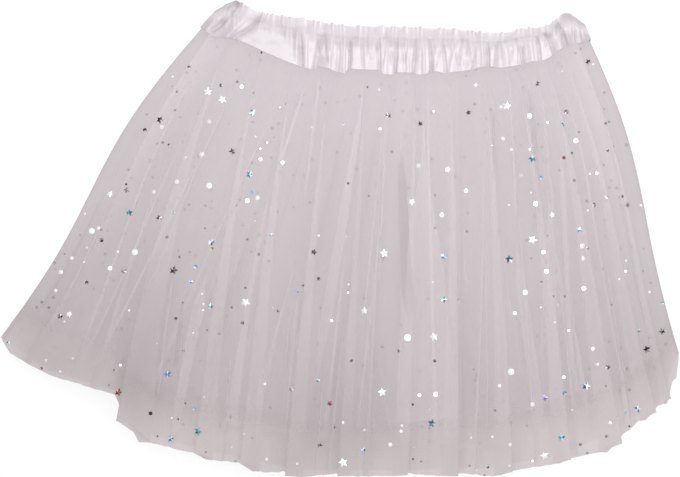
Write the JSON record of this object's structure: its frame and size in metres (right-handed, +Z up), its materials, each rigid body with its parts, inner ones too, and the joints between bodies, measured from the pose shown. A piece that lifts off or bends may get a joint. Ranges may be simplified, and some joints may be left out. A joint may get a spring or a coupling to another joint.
{
  "type": "ballet tutu",
  "caption": "Child's pull-on tulle tutu skirt laid flat: sheer star-sprinkled outer ring over a plain under ring, gathered into a ruffled satin elastic waistband.",
  "frame": {"origin": "centre of the laid-out skirt's footprint, on the surface that it lies on", "axes": "+X across the skirt's width, towards its narrower side fold; +Y from the hem to the waist; +Z up, from the back of the skirt to its front"},
  "size_m": [0.4554, 0.318, 0.0194],
  "materials": {
    "star_tulle": "sheer nylon tulle with foil stars and dots",
    "plain_tulle": "sheer nylon tulle",
    "satin": "polyester satin, ruched"
  },
  "bodies": {
    "root": {"outer_tulle_front": "star_tulle", "outer_tulle_back": "star_tulle", "under_tulle_front": "plain_tulle", "under_tulle_back": "plain_tulle", "waistband_front": "satin", "waistband_back": "satin"}
  },
  "joints": []
}
